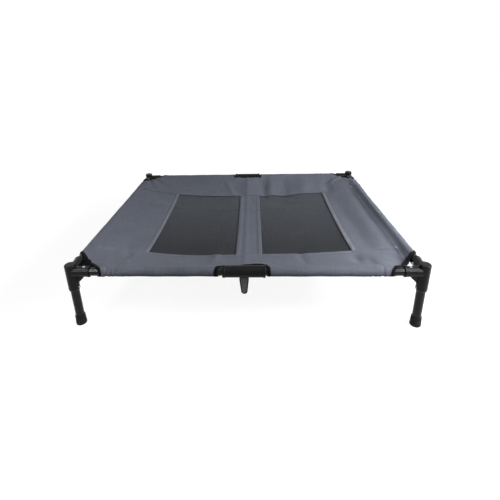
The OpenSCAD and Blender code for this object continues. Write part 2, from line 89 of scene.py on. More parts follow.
def seen_directly(tree):
    """1 for what the lens, a reflection or a clear material looks at, and 0 for the light itself."""
    path = wire(tree, "ShaderNodeLightPath").outputs
    mirror = combined(tree, "MAXIMUM", path["Is Glossy Ray"], path["Is Transmission Ray"])
    return combined(tree, "MAXIMUM", path["Is Camera Ray"], mirror)


surround_light = 0.16
world = bpy.data.worlds.new("surround")
scene.world = world
world.use_nodes = True
tree = world.node_tree
tree.nodes.clear()
white = wire(tree, "ShaderNodeBackground", {"Color": (1, 1, 1, 1), "Strength": 1.0})
soft = wire(tree, "ShaderNodeBackground", {"Color": (0.97, 0.98, 1, 1), "Strength": surround_light})
both = wire(tree, "ShaderNodeMixShader", {0: seen_directly(tree), 1: soft.outputs[0], 2: white.outputs[0]})
wire(tree, "ShaderNodeOutputWorld", {"Surface": both.outputs[0]})

floor_reach = 14
dim_to, bright_from, dim_glow = 0.6, 1.5, 0.90
mesh = bpy.data.meshes.new("floor")
mesh.from_pydata([(-floor_reach, -floor_reach, 0), (floor_reach, -floor_reach, 0),
                  (floor_reach, floor_reach, 0), (-floor_reach, floor_reach, 0)], [], [(0, 1, 2, 3)])
floor = bpy.data.objects.new("floor", mesh)
scene.collection.objects.link(floor)
paper = bpy.data.materials.new("white_paper")
paper.use_nodes = True
tree = paper.node_tree
tree.nodes.clear()
matt = wire(tree, "ShaderNodeBsdfDiffuse", {"Color": (0.22, 0.22, 0.22, 1)})
faint = wire(tree, "ShaderNodeBsdfDiffuse", {"Color": (0.26, 0.26, 0.26, 1)})
place = wire(tree, "ShaderNodeTexCoord").outputs["Object"]
away = wire(tree, "ShaderNodeVectorMath", {0: place}, operation="LENGTH").outputs["Value"]
brightness = spread(tree, away, dim_to, bright_from, dim_glow, 1.0)
glow = wire(tree, "ShaderNodeEmission", {"Color": (1, 1, 1, 1), "Strength": brightness})
shown = wire(tree, "ShaderNodeAddShader", {0: faint.outputs[0], 1: glow.outputs[0]})
both = wire(tree, "ShaderNodeMixShader", {0: seen_directly(tree), 1: matt.outputs[0], 2: shown.outputs[0]})
wire(tree, "ShaderNodeOutputMaterial", {"Surface": both.outputs[0]})
mesh.materials.append(paper)


def soft_box(name, place, aim, size, power, beam=180):
    """A rectangular lamp: its second size lies along the room's depth, and its beam is in degrees."""
    lamp = bpy.data.lights.new(name, "AREA")
    lamp.shape = "RECTANGLE"
    lamp.size, lamp.size_y = size
    lamp.energy = power
    lamp.spread = math.radians(beam)
    made = bpy.data.objects.new(name, lamp)
    back = (Vector(place) - Vector(aim)).normalized()
    across = Vector((0, 1, 0)).cross(back).normalized()
    made.matrix_world = Matrix.Translation(place) @ Matrix(
        (across, back.cross(across), back)
    ).transposed().to_4x4()
    scene.collection.objects.link(made)


sling_middle = (0, 0, 0.14)
soft_box("key_box", (1.34, -0.56, 0.92), sling_middle, (0.5, 0.5), 33.5)
soft_box("top_box", (0, -0.80, 2.20), sling_middle, (0.9, 0.6), 5)
corner_row = ((-1.78, 1.08), (-1.32, 1.58), (-0.70, 1.86))
for sign, power in ((-1, 0.085), (1, 0.14)):
    for i, (y, z) in enumerate(corner_row):
        soft_box("corner_lamp_%d_%d" % (sign, i), (1.19 * sign, y, z), (0.43 * sign, -0.40, 0.15),
                 (0.22, 0.5), power, beam=18)


# Corner connectors: four injection-moulded black nylon elbows, into which the rails and legs are
# pushed. The mould leaves a fine even grain, and handling rubs the raised edges a little lighter.
def finish(name, colour, rough):
    """A material of one colour to start from, with its node tree and its surface node."""
    made = bpy.data.materials.new(name)
    made.use_nodes = True
    skin = made.node_tree.nodes["Principled BSDF"]
    skin.inputs["Base Color"].default_value = (*colour, 1)
    skin.inputs["Roughness"].default_value = rough
    return made, made.node_tree, skin


def two_tone(tree, share, dark, light):
    """A colour that goes from dark to light with a share from 0 to 1."""
    tones = {0: share, 6: (*dark, 1), 7: (*light, 1)}
    return wire(tree, "ShaderNodeMix", tones, data_type="RGBA").outputs[2]


def cloudy(tree, place, scale, detail=3.0):
    return wire(tree, "ShaderNodeTexNoise", {"Vector": place, "Scale": scale, "Detail": detail}).outputs[0]


def relief(tree, skin, height, strength, depth, normal=None):
    """Relief too fine for the mesh, from a height of 0 to 1, on the plain normal or on a given one."""
    bump = wire(tree, "ShaderNodeBump", {"Height": height, "Strength": strength, "Distance": depth})
    if normal is not None:
        tree.links.new(normal, bump.inputs["Normal"])
    tree.links.new(bump.outputs[0], skin.inputs["Normal"])
    return bump


def rubbed_edges(tree, place, radius):
    """The rounded normal of an edge, and how much of the edge has been rubbed."""
    eased = wire(tree, "ShaderNodeBevel", {"Radius": radius}, samples=6)
    plain = wire(tree, "ShaderNodeNewGeometry")
    flat = wire(tree, "ShaderNodeVectorMath", {0: eased.outputs[0], 1: plain.outputs["Normal"]},
                operation="DOT_PRODUCT")
    edge = spread(tree, flat.outputs["Value"], 1.0, 0.86, 0.0, 1.0)
    patchy = spread(tree, cloudy(tree, place, 160), 0.42, 0.66, 0.1, 1.0)
    return eased.outputs[0], combined(tree, "MULTIPLY", edge, patchy)


def grained(name, dark, light, worn_light, rough, shine, grain_size, grain_depth, edge_radius):
    """A moulded or coated finish: cloudy colour, uneven gloss, fine grain and rubbed edges."""
    made, tree, skin = finish(name, dark, rough[0])
    skin.inputs["Specular IOR Level"].default_value = shine
    place = wire(tree, "ShaderNodeTexCoord").outputs["Object"]
    normal, worn = rubbed_edges(tree, place, edge_radius)
    body = two_tone(tree, spread(tree, cloudy(tree, place, 45), 0.35, 0.65, 0, 1), dark, light)
    colour = wire(tree, "ShaderNodeMix", {0: worn, 6: body, 7: (*worn_light, 1)}, data_type="RGBA")
    tree.links.new(colour.outputs[2], skin.inputs["Base Color"])
    gloss = spread(tree, cloudy(tree, place, 22, 5.0), 0.3, 0.7, *rough)
    tree.links.new(gloss, skin.inputs["Roughness"])
    relief(tree, skin, cloudy(tree, place, 1 / grain_size, 2.0), 0.35, grain_depth, normal)
    return made


def dress(names, material):
    """Gives CAD pieces whose shape is right their finish."""
    for name in names:
        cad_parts[name].data.materials.clear()
        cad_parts[name].data.materials.append(material)


corners = ("front_left", "front_right", "rear_left", "rear_right")
sides, ends = {"front": -1, "rear": 1}, {"left": -1, "right": 1}
moulded_nylon = grained("moulded_nylon", dark=(0.0045, 0.0045, 0.005), light=(0.0075, 0.0075, 0.008),
                        worn_light=(0.014, 0.014, 0.015), rough=(0.20, 0.28), shine=0.14,
                        grain_size=0.0006, grain_depth=0.00010, edge_radius=0.0011)
dress(["corner_" + c for c in corners], moulded_nylon)

# Tubes: legs, short rails and the halves of the long rails, in thin-walled steel with a black powder
# coat. The coat has a slight orange peel and is glossier than the moulded pieces. Snap buttons hold the
# tubes in the connectors.
powder_coat = grained("powder_coat", dark=(0.006, 0.006, 0.0065), light=(0.011, 0.011, 0.0115),
                      worn_light=(0.045, 0.045, 0.046), rough=(0.12, 0.18), shine=0.17,
                      grain_size=0.0014, grain_depth=0.00006, edge_radius=0.0004)
dress(["leg_" + c for c in corners] + ["long_rail_" + c for c in corners], powder_coat)
dress(["short_rail_" + e for e in ends], powder_coat)

# Feet: black rubber cups pushed on to the legs, with grip grooves. They are dull, and they carry a
# little pale dust towards the floor.
rubber, dust = (0.008, 0.008, 0.008), (0.050, 0.048, 0.045)
dust_top, dust_full = 0.022, 0.001
foot_rubber, tree, skin = finish("foot_rubber", rubber, 0.7)
skin.inputs["Specular IOR Level"].default_value = 0.18
place = wire(tree, "ShaderNodeTexCoord").outputs["Object"]
normal = rubbed_edges(tree, place, 0.0008)[0]
height = wire(tree, "ShaderNodeSeparateXYZ", {0: place}).outputs["Z"]
low_down = spread(tree, height, dust_top, dust_full, 0.0, 1.0)
speckled = spread(tree, cloudy(tree, place, 220, 6.0), 0.45, 0.7, 0.0, 0.55)
dusty = combined(tree, "MULTIPLY", low_down, speckled)
tree.links.new(two_tone(tree, dusty, rubber, dust), skin.inputs["Base Color"])
tree.links.new(spread(tree, cloudy(tree, place, 90), 0.3, 0.7, 0.58, 0.82), skin.inputs["Roughness"])
relief(tree, skin, cloudy(tree, place, 1300, 2.0), 0.4, 0.00012, normal)
dress(["foot_" + c for c in corners], foot_rubber)


# Snap buttons, lever pins and leaf springs: steel, zinc plated except on the springs. Each button stands
# on a spring inside its tube. The plate has a fine grain, and thumbs leave dull patches on it.
def plated(name, bright, dull, rough):
    made, tree, skin = finish(name, bright, rough[0])
    skin.inputs["Metallic"].default_value = 1.0
    place = wire(tree, "ShaderNodeTexCoord").outputs["Object"]
    patches = spread(tree, cloudy(tree, place, 320, 4.0), 0.4, 0.68, 0.0, 1.0)
    tree.links.new(two_tone(tree, patches, bright, dull), skin.inputs["Base Color"])
    tree.links.new(spread(tree, cloudy(tree, place, 700), 0.3, 0.7, *rough), skin.inputs["Roughness"])
    relief(tree, skin, cloudy(tree, place, 2600, 1.0), 0.2, 0.00005)
    return made


zinc = plated("zinc_plate", bright=(0.42, 0.43, 0.45), dull=(0.28, 0.285, 0.295), rough=(0.25, 0.45))
spring_steel = plated("bare_spring_steel", bright=(0.33, 0.34, 0.36), dull=(0.20, 0.20, 0.21),
                      rough=(0.3, 0.5))
dress([kind + "_button_" + c for kind in ("long", "short", "leg") for c in corners], zinc)
dress(["lever_pin_" + s for s in sides], zinc)
dress(["button_springs"], spring_steel)

# Couplings and levers: a harder, duller black nylon than the corners'. A housing holds the two halves of
# each long rail, and a paddle lever hangs from it on a pin, with a soft grey grip pad in its face.
hard_nylon = grained("hard_nylon", dark=(0.0045, 0.0045, 0.005), light=(0.008, 0.008, 0.0085),
                     worn_light=(0.026, 0.026, 0.027), rough=(0.30, 0.40), shine=0.10,
                     grain_size=0.0006, grain_depth=0.00010, edge_radius=0.0011)
dress(["coupling_" + s for s in sides] + ["lever_" + s for s in sides], hard_nylon)
grip_pad, tree, skin = finish("grip_pad", (0.13, 0.13, 0.135), 0.72)
place = wire(tree, "ShaderNodeTexCoord").outputs["Object"]
smudge = spread(tree, cloudy(tree, place, 120, 4.0), 0.35, 0.68, 0.0, 1.0)
tree.links.new(two_tone(tree, smudge, (0.11, 0.11, 0.115), (0.16, 0.16, 0.165)), skin.inputs["Base Color"])
pimples = wire(tree, "ShaderNodeTexVoronoi", {"Vector": place, "Scale": 620.0}, feature="SMOOTH_F1")
relief(tree, skin, pimples.outputs[0], 0.5, 0.00025).invert = True
tree.links.new(spread(tree, cloudy(tree, place, 300), 0.3, 0.7, 0.62, 0.82), skin.inputs["Roughness"])
dress(["lever_pad_" + s for s in sides], grip_pad)

# The sling's shape: coated polyester cloth that hangs slack between the four rails, so it dips in a
# flat-bottomed bowl. It pulls into soft folds at the corners and behind the couplings.
half_x, half_y, rail_z = 0.443, 0.366, 0.1615  # the rails' axes
rail_skin, seam_in = 0.0126, 0.024  # from a rail's axis to its sleeve's outer face and to the seam
cloth_thick = 0.0012
sag, flatness = 0.052, 3


def fold(x, y, start, end, width, rise):
    """A soft ridge, or a valley where rise is negative, that fades out towards both of its ends."""
    run = np.subtract(end, start)
    length = np.hypot(*run)
    t = ((x - start[0]) * run[0] + (y - start[1]) * run[1]) / length ** 2
    off = ((x - start[0]) * run[1] - (y - start[1]) * run[0]) / length
    inside = np.clip(t, 0, 1)
    return rise * np.exp(-(off / width) ** 2) * np.sin(np.pi * inside) ** 0.8


def mound(x, y, middle, reach, rise):
    return rise * np.exp(-((x - middle[0]) / reach[0]) ** 2 - ((y - middle[1]) / reach[1]) ** 2)


def corner_pulls(x, y, sx, sy, count, strength):
    """Folds that fan out from a corner's bound edge, where the cloth carries the most pull."""
    from_x, from_y = half_x - sx * x, half_y - sy * y
    away = np.hypot(from_x, from_y)
    angle = np.arctan2(from_y, from_x)
    fan = np.sin(count * 2 * angle + 0.9 * np.sin(5 * angle + sx + 2 * sy))
    rise = strength * np.exp(-((away - 0.055) / 0.085) ** 2)
    return rise * fan * (0.65 + 0.35 * np.sin(9 * angle + 3 * sx - sy))


def slack(x, y):
    """Height of the cloth's folds above its even sag."""
    z = corner_pulls(x, y, -1, -1, 5, 0.0011) + corner_pulls(x, y, 1, -1, 4, 0.0018)
    z = z + corner_pulls(x, y, -1, 1, 7, 0.0032) + corner_pulls(x, y, 1, 1, 6, 0.0022)
    # the fold left in the middle from packing, and the one across it
    z = z + 0.0012 * np.exp(-((x - 0.001) / 0.007) ** 2) + 0.0012 * np.exp(-((y - 0.105) / 0.009) ** 2)
    # front left and the middle of the front band
    z = z + fold(x, y, (-0.312, -0.365), (-0.306, -0.190), 0.012, 0.0030)
    z = z + fold(x, y, (-0.284, -0.365), (-0.356, -0.190), 0.010, -0.0018)
    z = z + fold(x, y, (-0.090, -0.330), (-0.072, -0.190), 0.012, 0.0028)
    z = z + fold(x, y, (0.158, -0.345), (0.157, -0.205), 0.012, -0.0030)
    # the front edge of the left window hangs lower than the right one's
    z = z + mound(x, y, (-0.150, -0.250), (0.120, 0.060), -0.0055)
    # behind the front coupling the cloth lies low on the left and stands up on the right, and behind
    # the rear one it stands up at both ends
    z = z + mound(x, y, (0.034, -0.346), (0.024, 0.016), 0.0055)
    z = z + mound(x, y, (-0.032, -0.346), (0.024, 0.016), -0.0035)
    z = z + mound(x, y, (-0.042, 0.347), (0.024, 0.016), 0.0050)
    z = z + mound(x, y, (0.042, 0.347), (0.024, 0.016), 0.0050)
    # front right
    z = z + mound(x, y, (0.300, -0.298), (0.016, 0.032), -0.0065)
    z = z + mound(x, y, (0.328, -0.318), (0.012, 0.030), -0.0040)
    z = z + mound(x, y, (0.364, -0.262), (0.026, 0.024), 0.0015)
    # the long hollow beside the right sleeve, which widens to the front, and a dip along the panel
    z = z + fold(x, y, (0.409, -0.420), (0.409, 0.360), 0.015, -0.0034)
    z = z + mound(x, y, (0.400, -0.300), (0.030, 0.065), -0.0085)
    z = z + fold(x, y, (0.356, -0.345), (0.338, 0.180), 0.022, -0.0032)
    # broad folds across the rear band, deeper towards the right
    z = z + fold(x, y, (-0.098, 0.345), (-0.044, 0.185), 0.012, 0.0036)
    z = z + fold(x, y, (0.002, 0.365), (0.004, 0.175), 0.026, 0.0046)
    z = z + fold(x, y, (0.066, 0.365), (0.070, 0.180), 0.018, -0.0042)
    z = z + fold(x, y, (0.104, 0.360), (0.092, 0.180), 0.018, 0.0050)
    z = z + fold(x, y, (0.160, 0.360), (0.148, 0.180), 0.020, -0.0046)
    z = z + fold(x, y, (0.248, 0.360), (0.222, 0.180), 0.034, 0.0066)
    z = z + fold(x, y, (0.342, 0.360), (0.322, 0.180), 0.020, -0.0054)
    return z


def bowl(x, y):
    return sag * (1 - np.abs(x / half_x) ** flatness) * (1 - np.abs(y / half_y) ** flatness)


def sling_z(x, y):
    return rail_z + rail_skin - bowl(x, y) + slack(x, y)


# The cloth: plain-weave polyester in a blue grey, coated underneath. Yarns vary in thickness, so the
# colour has fine streaks both ways, and the weave gives it a soft sheen at low angles.
def band_scale(pitch):
    """The scale of a wave texture whose bands are a pitch apart."""
    return 2 * math.pi / 20 / pitch


def shaded(tree, colour, factor):
    """A colour times a factor."""
    return wire(tree, "ShaderNodeMix", {0: 1.0, 6: colour, 7: factor}, data_type="RGBA",
                blend_type="MULTIPLY").outputs[2]


def woven(name, dark, light, pitch, depth, rough, sheen, shine):
    """Plain weave laid out on the piece's own cut, which is in metres."""
    made, tree, skin = finish(name, dark, rough[0])
    skin.inputs["Sheen Weight"].default_value = sheen
    skin.inputs["Sheen Roughness"].default_value = 0.45
    skin.inputs["Specular IOR Level"].default_value = shine
    cut = wire(tree, "ShaderNodeUVMap", uv_map="cut").outputs[0]
    place = wire(tree, "ShaderNodeTexCoord").outputs["Object"]
    yarns = band_scale(2 * pitch)
    warp = wire(tree, "ShaderNodeTexWave", {"Vector": cut, "Scale": yarns}, bands_direction="X")
    weft = wire(tree, "ShaderNodeTexWave", {"Vector": cut, "Scale": yarns}, bands_direction="Y")
    over = wire(tree, "ShaderNodeTexChecker", {"Vector": cut, "Scale": 1 / pitch})
    height = wire(tree, "ShaderNodeMix", {0: over.outputs["Fac"], 2: warp.outputs["Fac"],
                                          3: weft.outputs["Fac"]}, data_type="FLOAT")
    fine, drawn_out = 420, 14
    long_way = wire(tree, "ShaderNodeMapping", {"Vector": cut, "Scale": (fine, drawn_out, 1)})
    cross_way = wire(tree, "ShaderNodeMapping", {"Vector": cut, "Scale": (drawn_out, fine, 1)})
    streaks = combined(tree, "ADD", cloudy(tree, long_way.outputs[0], 1.0, 2.0),
                       cloudy(tree, cross_way.outputs[0], 1.0, 2.0))
    patches = cloudy(tree, place, 9, 4.0)
    share = spread(tree, combined(tree, "ADD", streaks, patches), 1.15, 1.85, 0.0, 1.0)
    # the weave's low places are painted darker than its crowns: painted shade between the yarns, and in
    # the mesh windows' holes
    painted_gap_shade = spread(tree, height.outputs[0], 0.0, 0.45, 0.72, 1.0)
    tree.links.new(shaded(tree, two_tone(tree, share, dark, light), painted_gap_shade), skin.inputs["Base Color"])
    tree.links.new(spread(tree, patches, 0.3, 0.7, *rough), skin.inputs["Roughness"])
    relief(tree, skin, height.outputs[0], 0.5, depth)
    return made


oxford = woven("oxford_cloth", dark=(0.107, 0.117, 0.148), light=(0.151, 0.162, 0.198), pitch=0.0009,
               depth=0.00012, rough=(0.62, 0.80), sheen=0.03, shine=0.10)
grid_step = 0.0045


def stops(low, high, step, *extra):
    """Grid lines from low to high about a step apart, with extra ones where the shape needs them."""
    lines = np.linspace(low, high, max(2, int(round((high - low) / step)) + 1))
    return np.unique(np.concatenate([lines, [e for e in extra if low < e < high]]))


def frame_piece(name, points, faces, material):
    """A smooth mesh that rides on the frame."""
    mesh = bpy.data.meshes.new(name)
    mesh.from_pydata(points, [], faces)
    mesh.polygons.foreach_set("use_smooth", np.ones(len(faces), bool))
    mesh.materials.append(material)
    made = bpy.data.objects.new(name, mesh)
    scene.collection.objects.link(made)
    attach(made, "frame")
    return made


def soft_piece(name, points, cut, thick, material):
    """A sheet on a grid of points, with its cut as a UV map and its thickness below the points."""
    rows, columns = points.shape[:2]
    at = np.arange(rows * columns).reshape(rows, columns)
    quads = np.stack([at[:-1, :-1], at[:-1, 1:], at[1:, 1:], at[1:, :-1]], -1).reshape(-1, 4)
    made = frame_piece(name, points.reshape(-1, 3).tolist(), quads.tolist(), material)
    made.data.uv_layers.new(name="cut").data.foreach_set("uv", cut.reshape(-1, 2)[quads.ravel()].ravel())
    body = made.modifiers.new("thickness", "SOLIDIFY")
    body.thickness, body.offset = thick, -1
    return made


def flat_piece(name, x, y, lift, thick, material):
    """A piece of the sling whose plan is given by x and y and which follows the sag."""
    points = np.stack([x, y, sling_z(x, y) + lift], -1)
    return soft_piece(name, points, np.stack([x, y], -1), thick, material)


# Thread: two-ply polyester, a little paler than the cloth on the seams and black on the bindings. Each
# stitch is a short twisted strand that dips into the cloth at both ends.
def thread_finish(name, dark, light):
    made, tree, skin = finish(name, dark, 0.6)
    skin.inputs["Sheen Weight"].default_value = 0.1
    place = wire(tree, "ShaderNodeTexCoord").outputs["Object"]
    twist_and_groove_shade = wire(tree, "ShaderNodeTexWave", {"Vector": place, "Scale": 420.0, "Distortion": 1.5},
                 bands_direction="DIAGONAL").outputs["Fac"]
    # the grooves between the plies are painted darker than their crowns: painted shade
    tree.links.new(two_tone(tree, twist_and_groove_shade, dark, light), skin.inputs["Base Color"])
    tree.links.new(spread(tree, cloudy(tree, place, 800), 0.3, 0.7, 0.5, 0.7), skin.inputs["Roughness"])
    relief(tree, skin, twist_and_groove_shade, 0.5, 0.0001)
    return made


grey_thread = thread_finish("grey_thread", (0.115, 0.122, 0.142), (0.17, 0.178, 0.20))
black_thread = thread_finish("black_thread", (0.012, 0.012, 0.013), (0.03, 0.03, 0.032))
stitch_long, stitch_gap, strand = 0.0034, 0.0010, 0.00042


def distance_along(line):
    return np.concatenate([[0], np.linalg.norm(np.diff(line, axis=0), axis=1).cumsum()])


def at_distance(wanted, run, line):
    """What a line of points or normals has at the wanted distances along it."""
    return np.stack([np.interp(wanted, run, line[:, i]) for i in range(3)], -1)


def unit(rows):
    return rows / np.linalg.norm(rows, axis=1)[:, None]


def straight_up(count):
    return np.tile([0.0, 0.0, 1.0], (count, 1))


def stitched(name, rows, thread):
    """Rows of stitches as one piece. Each row is a line of points and the cloth's normals there."""
    points, faces = [], []
    for line, out in rows:
        run = distance_along(line)
        start = np.arange(stitch_gap, run[-1] - stitch_long, stitch_long + stitch_gap)
        at = [at_distance(start + share * stitch_long, run, line) for share in (0, 0.28, 0.72, 1)]
        up = at_distance(start, run, out)
        across = unit(np.cross(at[3] - at[0], up))
        ring = [strand * across, 1.15 * strand * up, -strand * across, -0.4 * strand * up]
        strands = [at[0] - 0.5 * strand * up] + [a + 0.25 * strand * up + r for a in at[1:3] for r in ring]
        strands = np.stack(strands + [at[3] - 0.5 * strand * up], 1)
        shape = [[0, 1 + i, 1 + (i + 1) % 4] for i in range(4)]
        shape += [[1 + i, 5 + i, 5 + (i + 1) % 4, 1 + (i + 1) % 4] for i in range(4)]
        shape += [[5 + i, 9, 5 + (i + 1) % 4] for i in range(4)]
        for block in strands:
            base = len(points)
            points.extend(block.tolist())
            faces.extend([[base + v for v in face] for face in shape])
    return frame_piece(name, points, faces, thread)


def seam_row(x, y, lift):
    """A row of stitches on the sling, along x and y in plan."""
    x, y = np.broadcast_arrays(np.asarray(x, float), np.asarray(y, float))
    return np.stack([x, y, sling_z(x, y) + lift], -1), straight_up(len(x))


# Mesh windows: two panels of coated open mesh that let air through. They are sewn under the edges of
# the cloth, so each runs a finger's width below it all round.
window_x = {"left": (-0.2775, -0.0275), "right": (0.0495, 0.2995)}
window_y = (-0.247, 0.211)
window_tuck = 0.009
mesh_drop, mesh_thick = 0.0016, 0.0008
open_mesh = woven("open_mesh", dark=(0.033, 0.036, 0.042), light=(0.052, 0.056, 0.064), pitch=0.0022,
                  depth=0.00030, rough=(0.50, 0.66), sheen=0.0, shine=0.08)
# both windows are painted paler towards the rear: a painted sheen, standing in for the light the mesh
# catches at a low angle there
tree = open_mesh.node_tree
skin = tree.nodes["Principled BSDF"]
plain = skin.inputs["Base Color"].links[0].from_socket
place = wire(tree, "ShaderNodeTexCoord").outputs["Object"]
back = wire(tree, "ShaderNodeSeparateXYZ", {0: place}).outputs["Y"]
# painted sheen: the base colour is raised towards the rear
paler = spread(tree, back, -0.20, 0.16, 0.62, 1.66)
tree.links.new(shaded(tree, plain, paler), skin.inputs["Base Color"])
for end in ends:
    x = stops(window_x[end][0] - window_tuck, window_x[end][1] + window_tuck, grid_step)
    y = stops(window_y[0] - window_tuck, window_y[1] + window_tuck, grid_step)
    x, y = np.meshgrid(x, y)
    piece = flat_piece("window_" + end, x, y, -mesh_drop, mesh_thick, open_mesh)
    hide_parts("mesh_" + end)

# Side panels and centre strip: cloth beside and between the windows. Each window edge is turned under in
# a hem with two rows of stitches, and the side panels' hems are faced with a paler woven tape.
hem_wide, hem_rise, hem_slope = 0.012, 0.0006, 0.0016
facing_thick, facing_round, facing_gaps = 0.0004, 0.0012, (0.0005, 0.001)
facing_step, strip_step = 0.0025, 0.004
facing = woven("facing_tape", dark=(0.150, 0.158, 0.182), light=(0.205, 0.213, 0.240), pitch=0.0007,
               depth=0.00010, rough=(0.60, 0.76), sheen=0.03, shine=0.12)


def faced(name, x0, x1):
    """A strip of facing tape along a window edge, from x0 to x1."""
    x, y = np.meshgrid(stops(x0, x1, facing_step), stops(*window_y, grid_step))
    rounded = np.clip(np.minimum(x - x0, x1 - x) / facing_round, 0, 1)
    lift = hem_rise + facing_thick * rounded
    return flat_piece(name, x, y, lift, facing_thick, facing)


def hem_step(away):
    """Height of a turned-under hem, at a distance from the edge that it lies along."""
    return hem_rise * np.clip((hem_wide - away) / hem_slope + 0.5, 0, 1)


def step_lines(at):
    """Grid lines on both sides of the step that a hem makes."""
    return at - hem_slope / 2, at + hem_slope / 2


stitch_rows = (0.0018, 0.0095)
band_lap, edge_line = 0.004, 0.0006
along = np.linspace(*window_y, 160)
for end, sign in ends.items():
    edge = window_x[end][0 if sign < 0 else 1]
    near, far = sorted((sign * (half_x - seam_in), edge))
    x = stops(near, far, grid_step, *step_lines(edge + sign * hem_wide), edge + sign * edge_line)
    y = stops(window_y[0] - band_lap, window_y[1] + band_lap, grid_step)
    x, y = np.meshgrid(x, y)
    lift = hem_step(np.abs(x - edge))
    piece = flat_piece("side_panel_" + end, x, y, lift, cloth_thick, oxford)
    tape = edge + sign * facing_gaps[0], edge + sign * (hem_wide - facing_gaps[1])
    hem = faced("side_panel_hem_" + end, *sorted(tape))
    rows = [seam_row(edge + sign * off, along, hem_rise + facing_thick) for off in stitch_rows]
    seams = stitched("side_panel_stitches_" + end, rows, grey_thread)
    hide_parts("panel_" + end)
near, far = window_x["left"][1], window_x["right"][0]
x = stops(near, far, strip_step, *step_lines(near + hem_wide), *step_lines(far - hem_wide))
y = stops(window_y[0] - band_lap, window_y[1] + band_lap, grid_step)
x, y = np.meshgrid(x, y)
lift = hem_step(np.minimum(x - near, far - x))
piece = flat_piece("middle_strip", x, y, lift, cloth_thick, oxford)
rows = [seam_row(at, along, hem_rise) for off in stitch_rows for at in (near + off, far - off)]
seams = stitched("middle_strip_stitches", rows, grey_thread)
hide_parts("centre_strip")

# Front and rear bands: the full width of the sling. Their outer corners are cut off at 45 degrees,
# and their inner edges lie over the panels and windows in a lapped seam.
corner_cut = 0.065
tape_wide = 0.0075
cloth_cut = corner_cut + 0.6 * tape_wide * math.sqrt(2)
lap_rise, band_columns = 0.0016, 205
for side, sy in sides.items():
    inner = half_y - sy * window_y[0 if sy < 0 else 1]
    depth = stops(seam_in, inner, grid_step, *step_lines(inner - hem_wide), inner - edge_line)
    reach = half_x - np.maximum(seam_in, cloth_cut - depth)
    x = reach[:, None] * np.linspace(-1, 1, band_columns)[None, :]
    y = sy * (half_y - depth)[:, None] + 0 * x
    lift = (hem_step(inner - depth) * lap_rise / hem_rise)[:, None] + 0 * x
    if sy > 0:
        x, y, lift = x[::-1], y[::-1], lift[::-1]
    piece = flat_piece("sling_band_" + side, x, y, lift, cloth_thick, oxford)
    across = np.linspace(seam_in - half_x, half_x - seam_in, 300)
    rows = [seam_row(across, sy * (half_y - inner + off), lap_rise) for off in stitch_rows]
    seams = stitched("sling_band_stitches_" + side, rows, grey_thread)
    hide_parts("band_" + side)


# Sleeves: the cloth goes round each rail and is sewn back on itself, in two halves on the long sides,
# where the notch for the coupling splits them. They gather a little towards the corners.
notch_half = {"front_left": 0.0545, "front_right": 0.053, "rear_left": 0.055, "rear_right": 0.055}
notch_slope = {"front_left": 0.36, "front_right": 0.17, "rear_left": 0.11, "rear_right": 0.11}
notch_tape_wide = {"front": 0.008, "rear": 0.005}


def on_rail(side, along, inward, up):
    """A point by its place along a rail, its distance inwards from the rail's axis and its height."""
    z = rail_z + up + 0 * along
    if side in sides:
        return np.stack([along, sides[side] * (half_y - inward) + 0 * along, z], -1)
    return np.stack([ends[side] * (half_x - inward) + 0 * along, along, z], -1)


def seam_height(side, along, inward=seam_in):
    """Height of the cloth above the rail's axis, at the sleeve's seam or further in."""
    seam = on_rail(side, np.asarray(along, float), inward, 0.0)
    return sling_z(seam[..., 0], seam[..., 1]) - rail_z


def drop_section(seam_up, radius, count):
    """Points round a sleeve, from its seam over the rail and back underneath, with outward normals."""
    top, low = np.array([seam_in, seam_up]), np.array([seam_in, seam_up - 2 * cloth_thick])
    a = math.atan2(top[1], top[0]) + math.acos(radius / np.hypot(*top))
    b = 2 * math.pi + math.atan2(low[1], low[0]) - math.acos(radius / np.hypot(*low))
    first, last = math.sqrt(top @ top - radius ** 2), math.sqrt(low @ low - radius ** 2)
    whole = first + radius * (b - a) + last
    s = np.linspace(0, whole, count)
    turn = np.clip(a + (s - first) / radius, a, b)
    normal = np.stack([np.cos(turn), np.sin(turn)], -1)
    points = radius * normal
    on_top, below = s < first, s > whole - last
    points[on_top] += np.outer(first - s[on_top], [math.sin(a), -math.cos(a)])
    points[below] += np.outer(s[below] - (whole - last), [-math.sin(b), math.cos(b)])
    return points, normal, s


# the slack part of each short sleeve: its height, its place along the rail and its reach
slack_part = {"left": (0.0012, 0.245, 0.060), "right": (0.0032, 0.235, 0.075)}


def gathers(side, along, s, whole):
    """Small folds round a sleeve, which grow towards the corners and die out at the seam."""
    to_corner = (half_x if side in sides else half_y) - np.abs(along)
    bunched = 0.0011 * np.exp(-((to_corner - 0.085) / 0.050) ** 2)
    if side in slack_part:
        rise, middle, reach = slack_part[side]
        bunched = bunched + rise * np.exp(-((along - middle) / reach) ** 2)
    drift = 26 * (s - 0.3 * whole)
    wave = np.sin(470 * along + drift + 1.3 * np.sin(95 * along)) * 0.65
    wave = wave + 0.35 * np.sin(255 * along - drift)
    lazy = 0.0004 * np.sin(61 * along + 40 * s) * np.sin(23 * along + 1.1)
    held = np.sin(np.pi * np.clip(s / whole, 0, 1)) ** 0.5
    # the right sleeve is slack, so it stands up in a shoulder on the inner side of its rail
    shoulder = 0.0022 * np.exp(-((s - 0.018) / 0.008) ** 2) if side == "right" else 0.0
    return (bunched * wave + lazy) * held + shoulder


